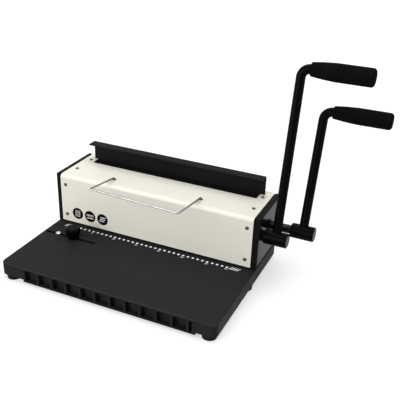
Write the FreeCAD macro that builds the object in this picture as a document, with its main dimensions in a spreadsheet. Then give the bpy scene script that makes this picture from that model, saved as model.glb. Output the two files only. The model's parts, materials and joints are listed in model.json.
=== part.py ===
"""Two-lever wire binding machine, in millimetres.

The front of the machine faces -Y and its levers are at +X. The origin is the middle of the bed's
outline, on the surface that the machine stands on. The long lever turns the punch shaft, whose
cams press a row of pins through the paper. The short lever turns the closing shaft, whose cranks
pull the closing bar down on the wire.
"""
import FreeCAD, Part
import math
import os
import re
import Sketcher

Vector = FreeCAD.Vector
Rotation = FreeCAD.Rotation

# Driving dimensions. Each becomes a cell of the sheet, under the name given here.
DIMENSIONS = {
    # bed: the tray that everything stands on
    "bed_width": 366.4,
    "bed_depth": 262.6,
    "bed_top": 30,
    "bed_skirt_bottom": 8.5,
    "bed_wall": 3,
    "bed_corner_radius": 9,
    "bed_edge_radius": 2.8,
    "bed_side_return": 30,
    "bed_rear_return": 40,
    # feet
    "foot_diameter": 24,
    "foot_sole_diameter": 22,
    "foot_side_inset": 14.7,
    "foot_front_inset": 12.6,
    "foot_middle_inset": 12.2,
    "foot_middle_y": 17,
    "foot_rear_x": 140,
    "foot_rear_y": 105,
    # chip drawer and its rails
    "drawer_front_width": 283,
    "drawer_bottom": 4.5,
    "drawer_front_clearance": 0.5,
    "drawer_front_depth": 12,
    "drawer_gap": 0.6,
    "drawer_wall": 1,
    "drawer_tray_bottom": 6.5,
    "drawer_die_clearance": 0.5,
    "drawer_tray_end": 72,
    "pocket_count": 11,
    "pocket_rib": 3.5,
    "pocket_depth": 8,
    "pocket_lip": 0.8,
    "pocket_sill": 2.2,
    "end_groove": 5,
    "end_rib": 5,
    "rail_thickness": 1.5,
    "rail_gap": 0.3,
    "rail_flange": 9,
    "rail_rear": 24,
    # casing
    "casing_front": 25,
    "casing_rear": 128,
    "casing_top": 119.3,
    "cover_half_width": 174,
    "cover_sheet": 1.2,
    "cover_bend": 6,
    "throat_front_gap": 3.2,
    "frame_outer": 176,
    "frame_sheet": 3,
    "frame_flange": 15,
    "end_plate_thickness": 7.5,
    "end_plate_set_back": 1,
    "end_plate_rim": 4,
    "end_plate_recess": 0.8,
    "end_plate_round": 2.5,
    # punch
    "hole_count": 34,
    "hole_pitch": 8.466667,
    "pin_width": 4,
    "pin_gap": 0.05,
    "throat_height": 3.2,
    "paper_margin": 4.5,
    "die_width": 310,
    "die_land": 12,
    "die_shoulder": 9,
    "die_shoulder_height": 5,
    "stripper_height": 8,
    "stripper_front": 8,
    "stripper_rear": 15,
    "holder_bottom": 50,
    "holder_height": 8,
    "beam_width": 309,
    "beam_half_depth": 6.5,
    "guide_post_diameter": 6,
    "guide_post_x": 147.6,
    "spring_diameter": 9.4,
    "spring_wire": 1.2,
    "spring_turns": 4,
    "spring_height": 26,
    "punch_axis_y": 47,
    "punch_axis_z": 83,
    "punch_travel": 8,
    "punch_angle": 80,
    "cam_width": 14,
    "cam_spacing": 106,
    "cam_rest_lift": 10,
    "cam_gap": 0.15,
    # closing bar and its drive
    "closing_axis_z": 86.6,
    "punch_shaft_clearance": 1.4,
    "closing_angle": 92,
    "crank_radius": 17,
    "crank_pin_diameter": 6,
    "crank_thickness": 6,
    "crank_gap": 0.5,
    "slot_gap": 0.75,
    "slot_end_gap": 0.6,
    "side_plate_sheet": 3,
    "side_plate_inner": 157,
    "side_plate_land": 4,
    "side_plate_flange": 18,
    "bar_half_width": 161,
    "bar_top": 151.6,
    "bar_sheet": 2.5,
    "bar_flange_depth": 19.5,
    "bar_rear": 116,
    "bar_foot": 66,
    "mouth_half_width": 153.5,
    "mouth_front": 94,
    "slit_gap": 0.8,
    "anvil_half_width": 149,
    "anvil_wall": 104,
    "anvil_drop": 1.8,
    "anvil_sheet": 2,
    "anvil_shelf_rear": 112,
    "anvil_foot": 14,
    # levers: the lean is the rest angle behind the vertical
    "shaft_diameter": 12,
    "shaft_gap": 0.05,
    "bush_diameter": 18,
    "bush_stand": 2,
    "hub_diameter": 23.2,
    "hub_length": 37.2,
    "hub_chamfer": 1,
    "arm_diameter": 14.3,
    "arm_bend": 13,
    "punch_arm_x": 205.3,
    "punch_arm_length": 260.2,
    "punch_arm_lean": 10.8,
    "punch_grip_diameter": 27,
    "punch_grip_length": 91.1,
    "closing_arm_x": 238.4,
    "closing_arm_length": 190.3,
    "closing_arm_lean": 15,
    "closing_grip_diameter": 25.2,
    "closing_grip_length": 87.2,
    "grip_start_gap": 0.3,
    "grip_taper_length": 36,
    "grip_neck_ratio": 0.77,
    "grip_end_radius": 5,
    # wire rod on the casing: its holes' middle lies off the machine's
    "wire_diameter": 3,
    "wire_hole_gap": 0.1,
    "wire_plug_length": 9,
    "wire_middle_x": -3.1,
    "wire_half_width": 79.5,
    "wire_hole_y": 49.4,
    "wire_reach": 78.9,
    "wire_skew": 5,
    "wire_rise": 13.7,
    "wire_knee_height": 3,
    "wire_bend": 3.2,
    # edge guide
    "guide_slot_left": 178.8,
    "guide_slot_right": 82.6,
    "guide_slot_y": -17.5,
    "guide_slot_width": 6.4,
    "guide_pin_x": 154.6,
    "guide_knob_x": 124.8,
    "guide_stud_diameter": 5,
    "guide_pin_head": 8.6,
    "guide_slider_width": 14,
    "guide_slider_height": 2.2,
    "knob_diameter": 25,
    "knob_foot_diameter": 17,
    "knob_widest_height": 11,
    "knob_height": 19.5,
    "knob_flutes": 8,
    "knob_flute_diameter": 5,
    "knob_round": 4,
}

doc = FreeCAD.newDocument("wire_binder")
dims = doc.addObject("Spreadsheet::Sheet", "dims")
sub_parts = []


def fill_sheet():
    """Writes every driving dimension as text beside its name, and names the cell after it."""
    for row, (name, value) in enumerate(DIMENSIONS.items(), start=1):
        dims.set(f"A{row}", name)
        dims.set(f"B{row}", str(value))
        dims.setAlias(f"B{row}", name)
    doc.recompute()


# ---------------------------------------------------------------- expressions and derived sizes

def formula(text):
    """Puts the sheet's name before each dimension in an expression."""
    return re.sub(
        r"[a-z][a-z_]+",
        lambda word: f"dims.{word[0]}" if word[0] in DIMENSIONS else word[0],
        str(text),
    )


def size(text):
    """The value of an expression of the sheet's dimensions, for shapes that code works out."""
    return float(dims.evalExpression(formula(text)))


def bind(item, **properties):
    """Binds properties of an object to expressions; a double underscore stands for a dot."""
    for name, text in properties.items():
        item.setExpression(name.replace("__", "."), formula(text))


BED_HALF = "(bed_width/2)"
BED_FRONT = "(-bed_depth/2)"
BED_CEILING = "(bed_top - bed_wall)"
DRAWER_HALF = "(drawer_front_width/2)"
DRAWER_RIGHT = f"({DRAWER_HALF} + end_groove + end_rib)"
DRAWER_FACE_REAR = f"({BED_FRONT} + drawer_front_depth)"
TRAY_HALF = f"({DRAWER_HALF} - 0.1)"
PIN_Y = "(punch_axis_y - punch_travel/(punch_angle*pi/180))"
HOLE_ROW_HALF = "((hole_count - 1)*hole_pitch/2)"
THROAT_TOP = "(bed_top + throat_height)"
STRIPPER_TOP = f"({THROAT_TOP} + stripper_height)"
HOLDER_TOP = "(holder_bottom + holder_height)"
BEAM_TOP = "(punch_axis_z - cam_rest_lift - cam_gap)"
FRAME_INNER = "(frame_outer - frame_sheet)"
PLATE_OUTER = "(frame_outer + end_plate_thickness)"
DIE_LOW = f"({BED_CEILING} - die_shoulder_height)"
DRAWER_FRONT_TOP = f"({BED_CEILING} - drawer_front_clearance)"
DRAWER_TRAY_TOP = f"({DIE_LOW} - drawer_die_clearance)"
SIDE_PLATE_FRONT = "(punch_axis_y + shaft_diameter/2 + punch_shaft_clearance)"
CRANK_SWEEP_FRONT = f"({SIDE_PLATE_FRONT} + side_plate_land + slot_end_gap)"
CLOSING_AXIS_Y = f"({CRANK_SWEEP_FRONT} + crank_pin_diameter/2 + crank_radius)"
CRANK_SWING = "(closing_angle/2)"
BAR_TRAVEL = f"(2*crank_radius*sin({CRANK_SWING}))"
CRANK_PIN_REST_Y = f"({CLOSING_AXIS_Y} - crank_radius*cos({CRANK_SWING}))"
CRANK_PIN_REST_Z = f"(closing_axis_z + crank_radius*sin({CRANK_SWING}))"
WEB_FRONT = "(bar_rear - bar_sheet)"
GRIP_START = "(arm_bend + grip_start_gap)"
BAR_NOTCH_TOP = "(casing_top - cover_sheet - 0.3)"


# ---------------------------------------------------------------- modelling helpers

def keep(item, label):
    """Names a finished sub-part and puts it on the list of those that are written out."""
    item.Label = label
    sub_parts.append(item)
    return item


def block(name, low, high):
    """A box between two corners, each given as three expressions."""
    box = doc.addObject("Part::Box", name)
    for prop, start, end in zip(("Length", "Width", "Height"), low, high):
        box.setExpression(prop, formula(f"({end}) - ({start})"))
    for axis, start in zip("xyz", low):
        box.setExpression(f"Placement.Base.{axis}", formula(start))
    return box


TURN_TO_AXIS = {
    "X": Rotation(Vector(0, 1, 0), 90),
    "Y": Rotation(Vector(1, 0, 0), -90),
    "Z": Rotation(),
}


def cylinder(name, axis, start, length, diameter):
    """A cylinder that begins at a point and runs along +X, +Y or +Z."""
    rod = doc.addObject("Part::Cylinder", name)
    rod.Placement = FreeCAD.Placement(Vector(), TURN_TO_AXIS[axis])
    for letter, text in zip("xyz", start):
        rod.setExpression(f"Placement.Base.{letter}", formula(text))
    bind(rod, Height=length, Radius=f"({diameter})/2")
    return rod


def group(name, items):
    """Several separate solids as one object."""
    compound = doc.addObject("Part::Compound", name)
    compound.Links = items
    return compound


def joined(name, items):
    """Several solids made one."""
    fusion = doc.addObject("Part::MultiFuse", name)
    fusion.Shapes = items
    fusion.Refine = True
    return fusion


def cut(name, base, tools):
    """A solid less some others."""
    result = doc.addObject("Part::Cut", name)
    result.Base = base
    result.Tool = tools[0] if len(tools) == 1 else group(f"{name}_tools", tools)
    result.Refine = True
    return result


def mirrored_x(name, item):
    """The same solid on the other side of the machine."""
    mirror = doc.addObject("Part::Mirroring", name)
    mirror.Source = item
    mirror.Normal = Vector(1, 0, 0)
    return mirror


def new_body(name):
    return doc.addObject("PartDesign::Body", name)


def sketch_on(body, plane, offset="0"):
    """A sketch on one of the body's own origin planes, moved along the plane's normal."""
    sketch = body.newObject("Sketcher::SketchObject", f"{body.Name}_sketch")
    support = next(item for item in body.Origin.OriginFeatures if item.Role == plane)
    sketch.AttachmentSupport = (support, [""])
    sketch.MapMode = "FlatFace"
    sketch.setExpression("AttachmentOffset.Base.z", formula(offset))
    return sketch


def fix_point(sketch, geometry, point, place):
    """Ties one point of a sketch to two expressions, measured from the sketch's origin."""
    for kind, text in zip(("DistanceX", "DistanceY"), place):
        index = sketch.addConstraint(
            Sketcher.Constraint(kind, -1, 1, geometry, point, size(text))
        )
        sketch.setExpression(f"Constraints[{index}]", formula(text))


def draw_outline(sketch, corners):
    """A closed outline of straight lines through corners given as pairs of expressions."""
    first = sketch.GeometryCount
    places = [Vector(size(across), size(up), 0) for across, up in corners]
    for start, end in zip(places, places[1:] + places[:1]):
        sketch.addGeometry(Part.LineSegment(start, end), False)
    count = len(corners)
    for index in range(count):
        following = first + (index + 1) % count
        sketch.addConstraint(Sketcher.Constraint("Coincident", first + index, 2, following, 1))
    for index, corner in enumerate(corners):
        fix_point(sketch, first + index, 1, corner)


def draw_circle(sketch, centre, diameter):
    """A circle whose centre and diameter are expressions."""
    place = Vector(size(centre[0]), size(centre[1]), 0)
    circle = Part.Circle(place, Vector(0, 0, 1), size(diameter) / 2)
    index = sketch.addGeometry(circle, False)
    fix_point(sketch, index, 3, centre)
    number = sketch.addConstraint(Sketcher.Constraint("Diameter", index, size(diameter)))
    sketch.setExpression(f"Constraints[{number}]", formula(diameter))


def rectangle(left, low, right, high):
    return [(left, low), (right, low), (right, high), (left, high)]


def extrude(body, kind, plane, start, end, outlines=(), circles=()):
    """Pads or pockets outlines from start to end, both measured along +X, +Y or +Z."""
    against = plane == "XZ_Plane"
    sketch = sketch_on(body, plane, f"-({start})" if against else start)
    for corners in outlines:
        draw_outline(sketch, corners)
    for centre, diameter in circles:
        draw_circle(sketch, centre, diameter)
    feature = body.newObject(f"PartDesign::{kind}", f"{body.Name}_{kind.lower()}")
    feature.Profile = sketch
    bind(feature, Length=f"({end}) - ({start})")
    feature.Reversed = against if kind == "Pad" else not against
    sketch.Visibility = False
    return feature


def revolve(body, plane, corners, axis="H_Axis", kind="Revolution"):
    """Turns an outline a full circle about the sketch's horizontal or vertical axis."""
    sketch = sketch_on(body, plane)
    draw_outline(sketch, corners)
    feature = body.newObject(f"PartDesign::{kind}", f"{body.Name}_{kind.lower()}")
    feature.Profile = sketch
    feature.ReferenceAxis = (sketch, [axis])
    feature.Angle = 360
    return feature


def edges_where(feature, test):
    """The names of the edges of a feature whose middle and direction pass a test."""
    doc.recompute()
    names = []
    for number, edge in enumerate(feature.Shape.Edges, start=1):
        middle = edge.valueAt((edge.FirstParameter + edge.LastParameter) / 2)
        along = edge.tangentAt((edge.FirstParameter + edge.LastParameter) / 2)
        if test(edge, middle, along):
            names.append(f"Edge{number}")
    return names


def dress(body, kind, base, test, amount):
    """Rounds (Fillet) or bevels (Chamfer) the edges of the last feature that pass a test."""
    names = edges_where(base, test)
    feature = body.newObject(f"PartDesign::{kind}", f"{body.Name}_{kind.lower()}")
    feature.Base = (base, names)
    bind(feature, **{"Radius" if kind == "Fillet" else "Size": amount})
    doc.recompute()
    return feature


def is_straight(edge):
    return isinstance(edge.Curve, Part.Line)


def near(one, other, within=0.02):
    return abs(one - other) < within


def shape_part(label, shape, placement=None):
    """A sub-part whose shape is worked out by Part's own functions."""
    feature = doc.addObject("Part::Feature", label)
    feature.Shape = shape
    if placement is not None:
        feature.Placement = placement
    return keep(feature, label)


def rounded_path(points, radius):
    """A wire of straight runs joined by tangent arcs of one radius."""
    edges = []
    last = points[0]
    for before, corner, after in zip(points, points[1:], points[2:]):
        way_in = (corner - before).normalize()
        way_out = (after - corner).normalize()
        turn = way_in.getAngle(way_out)
        setback = radius * math.tan(turn / 2)
        start = corner - way_in * setback
        end = corner + way_out * setback
        inward = (way_out - way_in).normalize()
        middle = corner + inward * (radius / math.cos(turn / 2) - radius)
        edges.append(Part.LineSegment(last, start).toShape())
        edges.append(Part.Arc(start, middle, end).toShape())
        last = end
    edges.append(Part.LineSegment(last, points[-1]).toShape())
    return Part.Wire(edges)


def bent_rod(points, bend, diameter):
    """A round rod that follows a rounded path."""
    path = rounded_path(points, bend)
    start = (points[1] - points[0]).normalize()
    profile = Part.Wire([Part.Circle(points[0], start, diameter / 2).toShape()])
    return path.makePipeShell([profile], True, True)


def row_of_holes(name, low, high, gap):
    """Square bars at the punch pins' places, from one height to another."""
    bars = []
    for index in range(int(size("hole_count"))):
        middle = f"({index}*hole_pitch - {HOLE_ROW_HALF})"
        half = f"(pin_width/2 + {gap})"
        bars.append(block(
            f"{name}_{index + 1}",
            (f"{middle} - {half}", f"{PIN_Y} - {half}", low),
            (f"{middle} + {half}", f"{PIN_Y} + {half}", high),
        ))
    return group(name, bars)


# ---------------------------------------------------------------- bed, feet and drawer

def foot_places():
    """The six feet: at the front corners, half way back, and further in under the casing."""
    places = []
    for sign in ("-", ""):
        places.append((f"{sign}({BED_HALF} - foot_side_inset)", f"({BED_FRONT} + foot_front_inset)"))
        places.append((f"{sign}({BED_HALF} - foot_middle_inset)", "foot_middle_y"))
        places.append((f"{sign}foot_rear_x", "foot_rear_y"))
    return places


def make_bed():
    """A shallow tray turned upside down, with returns for the feet and room for the drawer."""
    body = new_body("bed_body")
    outer = rectangle(f"-{BED_HALF}", BED_FRONT, BED_HALF, f"-{BED_FRONT}")
    shell = extrude(body, "Pad", "XY_Plane", "bed_skirt_bottom", "bed_top", [outer])
    upright = dress(
        body, "Fillet", shell,
        lambda edge, middle, along: is_straight(edge) and near(abs(along.z), 1),
        "bed_corner_radius",
    )
    top = size("bed_top")
    dress(
        body, "Fillet", upright,
        lambda edge, middle, along: near(middle.z, top) and near(along.z, 0),
        "bed_edge_radius",
    )
    inner_half = f"({BED_HALF} - bed_wall)"
    inner_front = f"({BED_FRONT} + bed_wall)"
    returns_top = "(bed_skirt_bottom + bed_wall)"
    side_return = f"({BED_HALF} - bed_side_return)"
    rear_return = f"(-{BED_FRONT} - bed_rear_return)"
    extrude(
        body, "Pocket", "XY_Plane", "bed_skirt_bottom - 1", f"{returns_top} + 1",
        [rectangle(f"-{side_return}", inner_front, side_return, rear_return)],
    )
    opening = rectangle(
        f"-{DRAWER_HALF} - drawer_gap", "bed_skirt_bottom - 1",
        f"{DRAWER_RIGHT} + drawer_gap", BED_CEILING,
    )
    extrude(
        body, "Pocket", "XZ_Plane", f"{BED_FRONT} - 1", f"{BED_FRONT} + drawer_front_depth + 2",
        [opening],
    )
    land = rectangle(
        "-(die_width/2 + 0.3)", f"{PIN_Y} - die_land/2 - 0.3",
        "(die_width/2 + 0.3)", f"{PIN_Y} + die_land/2 + 0.3",
    )
    slot_half = "(guide_slot_width/2)"
    slot = rectangle(
        "-guide_slot_left", f"guide_slot_y - {slot_half}",
        "-guide_slot_right", f"guide_slot_y + {slot_half}",
    )
    extrude(body, "Pocket", "XY_Plane", f"{BED_CEILING} - 1", "bed_top + 1", [land, slot])
    room = new_body("bed_room_body")
    inside = extrude(
        room, "Pad", "XY_Plane", returns_top, BED_CEILING,
        [rectangle(f"-{inner_half}", inner_front, inner_half, f"-{inner_front}")],
    )
    dress(
        room, "Fillet", inside,
        lambda edge, middle, along: is_straight(edge) and near(abs(along.z), 1),
        "bed_corner_radius - bed_wall",
    )
    keep(cut("bed_cut", body, [room]), "bed")


def make_feet():
    """Tapered rubber feet under the bed's returns."""
    feet = []
    for number, (x, y) in enumerate(foot_places(), start=1):
        foot = doc.addObject("Part::Cone", f"foot_{number}")
        bind(
            foot, Radius1="foot_sole_diameter/2", Radius2="foot_diameter/2",
            Height="bed_skirt_bottom", Placement__Base__x=x, Placement__Base__y=y,
        )
        feet.append(foot)
    keep(group("feet_group", feet), "rubber_feet")


def make_drawer_front():
    """The drawer's front: a row of open pockets that fingers pull on, and a groove at one end."""
    body = new_body("drawer_front_body")
    face = rectangle(f"-{DRAWER_HALF}", "drawer_bottom", DRAWER_RIGHT, DRAWER_FRONT_TOP)
    extrude(body, "Pad", "XZ_Plane", BED_FRONT, DRAWER_FACE_REAR, [face])
    pitch = "((drawer_front_width - pocket_rib)/pocket_count)"
    left = f"(pocket_rib - {DRAWER_HALF})"
    sill = "(drawer_bottom + pocket_sill)"
    lintel = f"({DRAWER_FRONT_TOP} - pocket_lip)"
    bottom = f"{BED_FRONT} + pocket_depth"
    groove = rectangle(DRAWER_HALF, sill, f"{DRAWER_HALF} + end_groove", lintel)
    extrude(body, "Pocket", "XZ_Plane", BED_FRONT, bottom, [groove])
    first = rectangle(left, sill, f"{left} + {pitch} - pocket_rib", lintel)
    pocket = extrude(body, "Pocket", "XZ_Plane", BED_FRONT, bottom, [first])
    pattern = body.newObject("PartDesign::LinearPattern", "pocket_pattern")
    pattern.Originals = [pocket]
    pattern.Direction = (pocket.Profile[0], ["H_Axis"])
    bind(pattern, Length=f"{pitch}*(pocket_count - 1)", Occurrences="pocket_count")
    body.Tip = pattern
    keep(body, "chip_drawer_front")


def make_drawer_tray():
    """An open tray under the die, wide enough to catch the chips of every hole."""
    body = new_body("drawer_tray_body")
    outer = rectangle(f"-{TRAY_HALF}", DRAWER_FACE_REAR, TRAY_HALF, "drawer_tray_end")
    extrude(body, "Pad", "XY_Plane", "drawer_tray_bottom", DRAWER_TRAY_TOP, [outer])
    inner = rectangle(
        f"-{TRAY_HALF} + drawer_wall", f"{DRAWER_FACE_REAR} + drawer_wall",
        f"{TRAY_HALF} - drawer_wall", "drawer_tray_end - drawer_wall",
    )
    extrude(
        body, "Pocket", "XY_Plane", "drawer_tray_bottom + drawer_wall", f"{DRAWER_TRAY_TOP} + 1",
        [inner],
    )
    keep(body, "chip_drawer_tray")


def make_drawer_rails():
    """Bent rails that hang from the bed and carry the tray; the edge guide's slider crosses them."""
    web = f"({DRAWER_HALF} + drawer_gap)"
    floor = "(drawer_tray_bottom - rail_gap)"
    profile = [
        (f"{web} - rail_flange", f"{floor} - rail_thickness"),
        (f"{web} + rail_thickness", f"{floor} - rail_thickness"),
        (f"{web} + rail_thickness", f"{BED_CEILING} - rail_thickness"),
        (f"{web} + rail_flange", f"{BED_CEILING} - rail_thickness"),
        (f"{web} + rail_flange", BED_CEILING),
        (web, BED_CEILING),
        (web, floor),
        (f"{web} - rail_flange", floor),
    ]
    right = new_body("drawer_rail_body")
    extrude(right, "Pad", "XZ_Plane", f"{DRAWER_FACE_REAR} + 3", "rail_rear", [profile])
    keep(right, "drawer_rail_right")
    left = mirrored_x("drawer_rail_mirror", right)
    notch = block(
        "slider_notch",
        (f"-{web} - rail_flange - 1", "guide_slot_y - guide_slider_width/2 - 1.5",
         f"{BED_CEILING} - guide_slider_height - 1"),
        (f"-{web} + 1", "guide_slot_y + guide_slider_width/2 + 1.5", "bed_top"),
    )
    keep(cut("drawer_rail_notched", left, [notch]), "drawer_rail_left")


# ---------------------------------------------------------------- casing

def shaft_axes():
    """The Y and Z of the punch shaft and of the closing shaft."""
    return (("punch_axis_y", "punch_axis_z"), (CLOSING_AXIS_Y, "closing_axis_z"))


def make_side_frames():
    """Steel frames, flanged at the front, the top, the back and the foot, with two bush seats."""
    front = "(casing_front + cover_sheet + 0.3)"
    top = "(casing_top - cover_sheet)"
    rear = "(casing_rear - cover_sheet - 0.5)"
    inner_edge = "(frame_outer - frame_flange)"
    right = new_body("side_frame_body")
    plate = extrude(
        right, "Pad", "YZ_Plane", FRAME_INNER, "frame_outer",
        [rectangle(front, "bed_top", rear, top)],
    )
    nose_y = size(front)
    nose_z = size(top)
    dress(
        right, "Fillet", plate,
        lambda edge, middle, along: near(abs(along.x), 1) and near(middle.y, nose_y)
        and near(middle.z, nose_z),
        "cover_bend",
    )
    upright = [rectangle(inner_edge, "bed_top + 6", "frame_outer", f"{top} - 14")]
    extrude(right, "Pad", "XZ_Plane", front, f"{front} + 2", upright)
    extrude(right, "Pad", "XZ_Plane", f"{rear} - 2", rear, upright)
    level = [rectangle(inner_edge, f"{front} + 7", "frame_outer", "bar_rear - 8")]
    extrude(right, "Pad", "XY_Plane", f"{top} - 2", top, level)
    extrude(right, "Pad", "XY_Plane", "bed_top", "bed_top + 2", level)
    extrude(
        right, "Pocket", "YZ_Plane", f"{FRAME_INNER} - 1", "frame_outer + 1",
        circles=[(axis, "bush_diameter + 0.1") for axis in shaft_axes()],
    )
    keep(right, "side_frame_right")
    keep(mirrored_x("side_frame_mirror", right), "side_frame_left")


def make_end_plate(label, side, with_shafts):
    """A black plate over a side frame: a rim round a flat field, and holes for the shafts."""
    body = new_body(f"{label}_body")
    front = "(casing_front + end_plate_set_back)"
    rear = "(casing_rear - end_plate_set_back)"
    inner = "frame_outer" if side > 0 else f"-{PLATE_OUTER}"
    outer = PLATE_OUTER if side > 0 else "-frame_outer"
    plate = extrude(
        body, "Pad", "YZ_Plane", inner, outer, [rectangle(front, "bed_top", rear, "casing_top")],
    )
    face = side * size(PLATE_OUTER)
    low = size("bed_top")
    dress(
        body, "Fillet", plate,
        lambda edge, middle, along: near(middle.x, face) and middle.z > low + 1,
        "end_plate_round",
    )
    field = rectangle(
        f"{front} + end_plate_rim", "bed_top + end_plate_rim/2",
        f"{rear} - end_plate_rim", "casing_top - end_plate_rim",
    )
    depth = f"{PLATE_OUTER} - end_plate_recess"
    if side > 0:
        extrude(body, "Pocket", "YZ_Plane", depth, f"{PLATE_OUTER} + 1", [field])
    else:
        extrude(body, "Pocket", "YZ_Plane", f"-{PLATE_OUTER} - 1", f"-({depth})", [field])
    if with_shafts:
        extrude(
            body, "Pocket", "YZ_Plane", f"{inner} - 1", f"{outer} + 1",
            circles=[(axis, "bush_diameter + 0.1") for axis in shaft_axes()],
        )
    keep(body, label)


def make_front_top_cover():
    """One bent sheet, front and top, with the wire mouth and the closing bar's slit."""
    body = new_body("front_top_cover_body")
    low = "(bed_top + throat_front_gap)"
    profile = [
        ("casing_front", low),
        ("casing_front + cover_sheet", low),
        ("casing_front + cover_sheet", "casing_top - cover_sheet"),
        ("casing_rear", "casing_top - cover_sheet"),
        ("casing_rear", "casing_top"),
        ("casing_front", "casing_top"),
    ]
    sheet = extrude(
        body, "Pad", "YZ_Plane", "-cover_half_width", "cover_half_width", [profile],
    )
    front = size("casing_front")
    top = size("casing_top")
    thick = size("cover_sheet")
    outside = dress(
        body, "Fillet", sheet,
        lambda edge, middle, along: near(abs(along.x), 1) and near(middle.y, front)
        and near(middle.z, top),
        "cover_bend",
    )
    dress(
        body, "Fillet", outside,
        lambda edge, middle, along: near(abs(along.x), 1) and near(middle.y, front + thick)
        and near(middle.z, top - thick),
        "cover_bend - cover_sheet",
    )
    slit_front = f"({WEB_FRONT} - slit_gap)"
    slit_rear = "(bar_rear + slit_gap)"
    slit_half = "(bar_half_width + slit_gap)"
    opening = [
        ("-mouth_half_width", "mouth_front"),
        ("mouth_half_width", "mouth_front"),
        ("mouth_half_width", slit_front),
        (slit_half, slit_front),
        (slit_half, slit_rear),
        (f"-{slit_half}", slit_rear),
        (f"-{slit_half}", slit_front),
        ("-mouth_half_width", slit_front),
    ]
    under = "casing_top - cover_sheet - 1"
    extrude(body, "Pocket", "XY_Plane", under, "casing_top + 1", [opening])
    wire_holes = [
        ((f"wire_middle_x {side} wire_half_width", "wire_hole_y"), "wire_diameter + 2*wire_hole_gap")
        for side in "-+"
    ]
    extrude(body, "Pocket", "XY_Plane", under, "casing_top + 1", circles=wire_holes)
    keep(body, "front_top_cover")


def make_rear_cover():
    """The back of the casing, with a lip under the top sheet."""
    body = new_body("rear_cover_body")
    inside = "(casing_rear - cover_sheet)"
    top = "(casing_top - cover_sheet - 0.1)"
    profile = [
        (inside, "bed_top + 1"),
        ("casing_rear", "bed_top + 1"),
        ("casing_rear", top),
        ("casing_rear - 8", top),
        ("casing_rear - 8", f"{top} - cover_sheet"),
        (inside, f"{top} - cover_sheet"),
    ]
    extrude(
        body, "Pad", "YZ_Plane", f"-{FRAME_INNER} + 0.3", f"{FRAME_INNER} - 0.3", [profile],
    )
    keep(body, "rear_cover")


def make_wire_rod():
    """The rod that is plugged into the casing; its legs climb forwards to a slightly askew bar."""
    half = size("wire_half_width")
    hole_y = size("wire_hole_y")
    front_y = hole_y - size("wire_reach")
    top = size("casing_top")
    sides = []
    for side in (1, -1):
        x = size("wire_middle_x") + side * half
        sides.append([
            Vector(x, hole_y, top - size("cover_sheet + wire_plug_length")),
            Vector(x, hole_y, top + size("wire_knee_height")),
            Vector(x, front_y - side * size("wire_skew"), top + size("wire_rise")),
        ])
    right, left = sides
    path = right + left[::-1]
    shape_part("wire_rod", bent_rod(path, size("wire_bend"), size("wire_diameter")))


# ---------------------------------------------------------------- punch

def make_die():
    """The die plate: a land flush with the bed's top, on shoulders under it."""
    half = "(die_width/2)"
    land = block(
        "die_land_block", (f"-{half}", f"{PIN_Y} - die_land/2", f"{BED_CEILING} - 0.5"),
        (half, f"{PIN_Y} + die_land/2", "bed_top"),
    )
    shoulder = block(
        "die_shoulder_block",
        (f"-{half}", f"{PIN_Y} - die_land/2 - die_shoulder", DIE_LOW),
        (half, f"{PIN_Y} + die_land/2 + die_shoulder", BED_CEILING),
    )
    whole = joined("die_whole", [land, shoulder])
    holes = row_of_holes("die_holes", f"{DIE_LOW} - 1", "bed_top + 1", "pin_gap")
    keep(cut("die_cut", whole, [holes]), "die_plate")


def make_stripper():
    """The plate above the throat that guides the pins, and the spacer that stops the paper."""
    half = "(die_width/2)"
    rear = f"({PIN_Y} + stripper_rear)"
    plate = block(
        "stripper_block", (f"-{half}", f"{PIN_Y} - stripper_front", THROAT_TOP),
        (half, rear, STRIPPER_TOP),
    )
    holes = row_of_holes("stripper_holes", f"{THROAT_TOP} - 1", f"{STRIPPER_TOP} + 1", "pin_gap")
    posts = [
        cylinder(f"post_hole_{number}", "Z", (x, PIN_Y, f"{THROAT_TOP} - 1"),
                 "stripper_height + 2", "guide_post_diameter + 0.04")
        for number, x in enumerate(("-guide_post_x", "guide_post_x"), start=1)
    ]
    keep(cut("stripper_cut", plate, [holes] + posts), "stripper_plate")
    keep(
        block(
            "throat_spacer_block",
            (f"-{half}", f"{PIN_Y} + pin_width/2 + paper_margin", "bed_top"),
            (half, rear, THROAT_TOP),
        ),
        "throat_spacer",
    )


def make_punch_pins():
    """Square pins that stand between the holder's underside and the throat."""
    low = f"({THROAT_TOP} + 0.4)"
    keep(row_of_holes("punch_pin_row", low, HOLDER_TOP, "0"), "punch_pins")


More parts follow.
